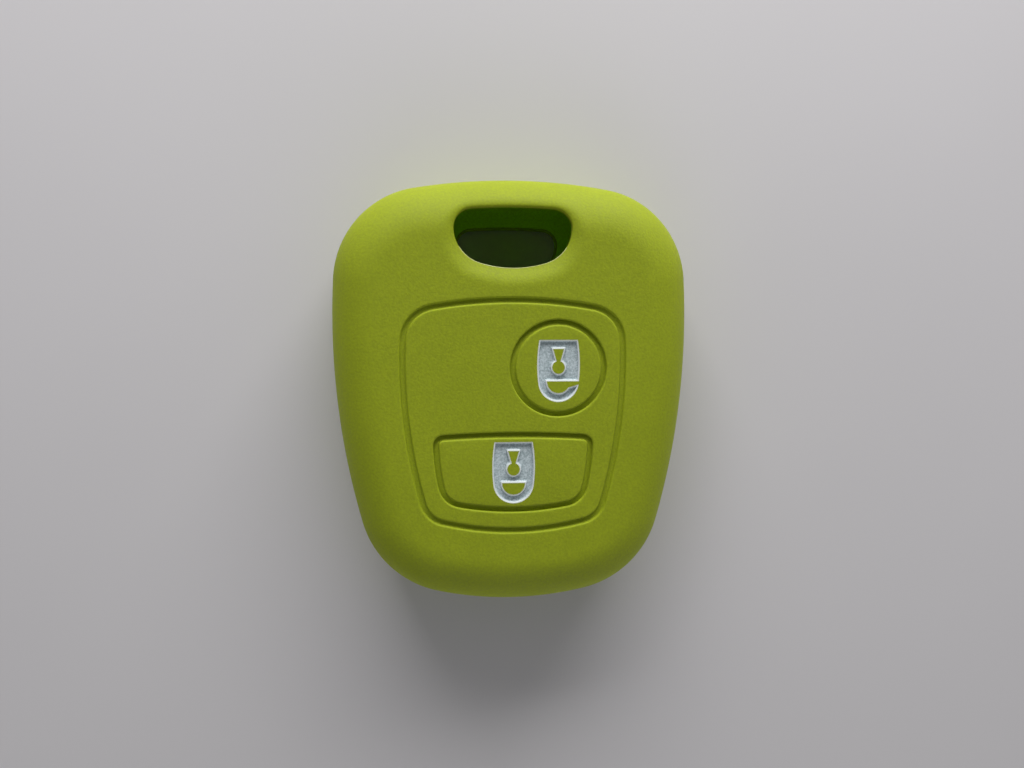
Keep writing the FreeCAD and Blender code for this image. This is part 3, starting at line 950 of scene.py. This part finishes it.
def button_pad(name, outline, is_open):
    """A press pad with the recess of its sign, and the thin web that joins it to the panel. The web slopes
    a little, so that it stretches from its hem to the pad's foot when the pad goes down. The recess is as
    deep as the groove, so that all of it goes down with the pad."""
    hem = HALF_GROOVE + WEB_HEM
    hem_height = GROOVE_FLOOR - WEB_TILT
    bottom = CEILING + WEB_HEM
    foot = mirrored(groove_foot())
    web = np.linspace((hem, hem_height), foot[0], WEB_STEPS)
    bank = swept(outline, [(hem, bottom), *web, *foot[1:], *mirrored(groove_shoulder())])
    field, islands = sign_outlines(is_open)
    top = filled(offset(outline, -GROOVE_SHOULDER), [field], FACE)
    island_tops = [filled(island, [], FACE) for island in islands]
    walls = [band([lifted(edge, FACE), lifted(edge, GROOVE_FLOOR)]) for edge in (field, *islands)]
    recess_floor = filled(field, islands, GROOVE_FLOOR)
    underside = filled(offset(outline, hem), [], bottom)
    piece = skin(name + "_pad", [bank, top, *island_tops, *walls, recess_floor, underside], SILICONE)
    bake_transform(piece)
    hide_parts(name + "_button", name + "_web")


def pad_core(name, outline):
    """The underside of a pad, which presses on the remote's key and goes down into the pocket with it."""
    edge = -HALF_GROOVE - WEB_HEM
    top = GROOVE_FLOOR - WEB_TILT - GROOVE_FOOT
    side = swept(outline, [
        (edge - GROOVE_EDGE, CEILING),
        *rounding((edge - INNER_EDGE, CEILING), (edge, CEILING), (edge, CEILING + INNER_EDGE), steps=4),
        (edge, top)])
    underside = filled(offset(outline, edge - GROOVE_EDGE), [], CEILING)
    hidden_top = filled(offset(outline, edge), [], top)
    piece = skin(name + "_pad_core", [side, underside, hidden_top], SILICONE)
    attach(piece, name + "_button")


def paint_height(depth):
    """Height of the paint at a depth inside its recess: thin on the floor, welling up to a shelf along the
    wall and lapping over its edge."""
    shelf = np.interp(depth, [-PAINT_LAP, PAINT_SHELF], [PAINT_PROUD, -PAINT_SHELF_DROP])
    short = 1 - np.clip((depth - PAINT_SHELF) / (PAINT_RUN - PAINT_SHELF), 0, 1)
    return FACE + shelf + (PAINT_SINK - PAINT_SHELF_DROP) * (short ** PAINT_HOLLOW - 1)


def sign_paint(name, is_open):
    """Paint in a sign's recess: a thin tray that wells up at the walls and laps a little over the edges."""
    bed = GROOVE_FLOOR - PAINT_BED
    insets = [-PAINT_LAP, PAINT_SHELF / 2, *np.linspace(PAINT_SHELF, PAINT_RUN, PAINT_STEPS)]
    field, islands = sign_outlines(is_open)
    rings = [followed(outline, side * inset)
             for inset in insets
             for outline, side in ((field, -1), *((island, 1) for island in islands))]
    edges = rings[:1 + len(islands)]
    corners, faces, _ = triangulated(
        rings, lambda at: inside(edges[0], at) & ~np.any([inside(edge, at) for edge in edges[1:]], axis=0))
    depth = np.min([distance(outline, corners) for outline in (field, *islands)], axis=0)
    laps = ~inside(field, corners) | np.any([inside(island, corners) for island in islands], axis=0)
    surface = lifted(corners, paint_height(np.where(laps, -depth, depth)))
    walls = [band([lifted(edge, FACE + PAINT_PROUD), lifted(edge, bed)]) for edge in edges]
    piece = skin(name + "_sign_paint", [
        (surface, faces), *walls, filled(edges[0], edges[1:], bed)], INK, crease=50)
    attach(piece, name + "_button")
    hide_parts(name + "_sign")


key_cover()
parting_line()
slot_flash()
for button, button_outline, button_is_open in (("unlock", unlock, True), ("lock", lock, False)):
    button_pad(button, button_outline, button_is_open)
    pad_core(button, button_outline)
    sign_paint(button, button_is_open)


# Floor, light and camera
FLOOR_HALF = 3000.0
FLOOR_GAP = 0.02

# Strength of the room's light, and the rise of the directions between which it falls off overhead
SKY_LEVEL = 0.2
OVERHEAD_LEVEL = 0.03
OVERHEAD_START = 0.8
OVERHEAD_FULL = 0.95

# The camera leans a few degrees to the left and to the key-ring end
CAMERA_TARGET = np.array([-0.223, 1.542, FACE])
CAMERA_DISTANCE = 110.6
CAMERA_LEAN_LEFT = math.radians(4.1)
CAMERA_LEAN_UP = math.radians(4.0)
LENS = 28.83
SENSOR_WIDTH = 36.0
NEAREST_SEEN = 5.0


def floor():
    """A board just below the cover's back."""
    mesh = bpy.data.meshes.new("floor")
    quarters = [(-1, -1), (1, -1), (1, 1), (-1, 1)]
    corners = [Vector((x * FLOOR_HALF, y * FLOOR_HALF, -FLOOR_GAP)) * MM for x, y in quarters]
    mesh.from_pydata(corners, [], [(0, 1, 2, 3)])
    mesh.materials.append(pale_floor())
    board = bpy.data.objects.new("floor", mesh)
    bpy.context.scene.collection.objects.link(board)


def aimed(obj, place, target):
    """Puts a lamp or the camera somewhere, in millimetres, and turns it to a point with +Y upright."""
    place, target = Vector(place) * MM, Vector(target) * MM
    back = (place - target).normalized()
    right = Vector((0, 1, 0)).cross(back).normalized()
    turn = Matrix((right, back.cross(right), back)).transposed()
    obj.matrix_world = Matrix.Translation(place) @ turn.to_4x4()
    bpy.context.scene.collection.objects.link(obj)


def soft_box(name, place, size, power):
    """A broad lamp that is turned to the middle of the cover, placed and sized in millimetres."""
    lamp = bpy.data.lights.new(name, "AREA")
    lamp.shape = "RECTANGLE"
    lamp.size, lamp.size_y = (side * MM for side in size)
    lamp.energy = power
    aimed(bpy.data.objects.new(name, lamp), place, (0, 0, FACE / 2))


def studio():
    """Soft light from a window at the key-ring end and a board opposite, in a pale room that is dim
    overhead, where the camera is."""
    world = bpy.data.worlds.new("studio")
    world.use_nodes = True
    tree = world.node_tree
    tree.nodes.clear()
    direction = add(tree, "ShaderNodeTexCoord").outputs["Generated"]
    upward = add(tree, "ShaderNodeSeparateXYZ", {"Vector": direction}).outputs["Z"]
    level = add(tree, "ShaderNodeMapRange", {
        "Value": upward, "From Min": OVERHEAD_START, "From Max": OVERHEAD_FULL,
        "To Min": SKY_LEVEL, "To Max": OVERHEAD_LEVEL})
    sky = add(tree, "ShaderNodeBackground", {
        "Color": linear("#F4F5F8"), "Strength": level.outputs["Result"]})
    add(tree, "ShaderNodeOutputWorld", {"Surface": sky.outputs["Background"]})
    bpy.context.scene.world = world
    soft_box("window", place=(28, 367, 165), size=(450, 200), power=2.05)
    soft_box("bounce_board", place=(97, -363, 145), size=(700, 200), power=0.42)


def camera():
    """Looks nearly square down on the button face from a hand's width away."""
    away = np.array([-math.tan(CAMERA_LEAN_LEFT), math.tan(CAMERA_LEAN_UP), 1])
    lens = bpy.data.cameras.new("camera")
    lens.sensor_width = SENSOR_WIDTH
    lens.lens = LENS
    lens.clip_start = NEAREST_SEEN * MM
    eye = bpy.data.objects.new("camera", lens)
    aimed(eye, CAMERA_TARGET + CAMERA_DISTANCE * away / np.linalg.norm(away), CAMERA_TARGET)
    bpy.context.scene.camera = eye


floor()
studio()
camera()
bpy.context.scene.view_settings.view_transform = "Standard"
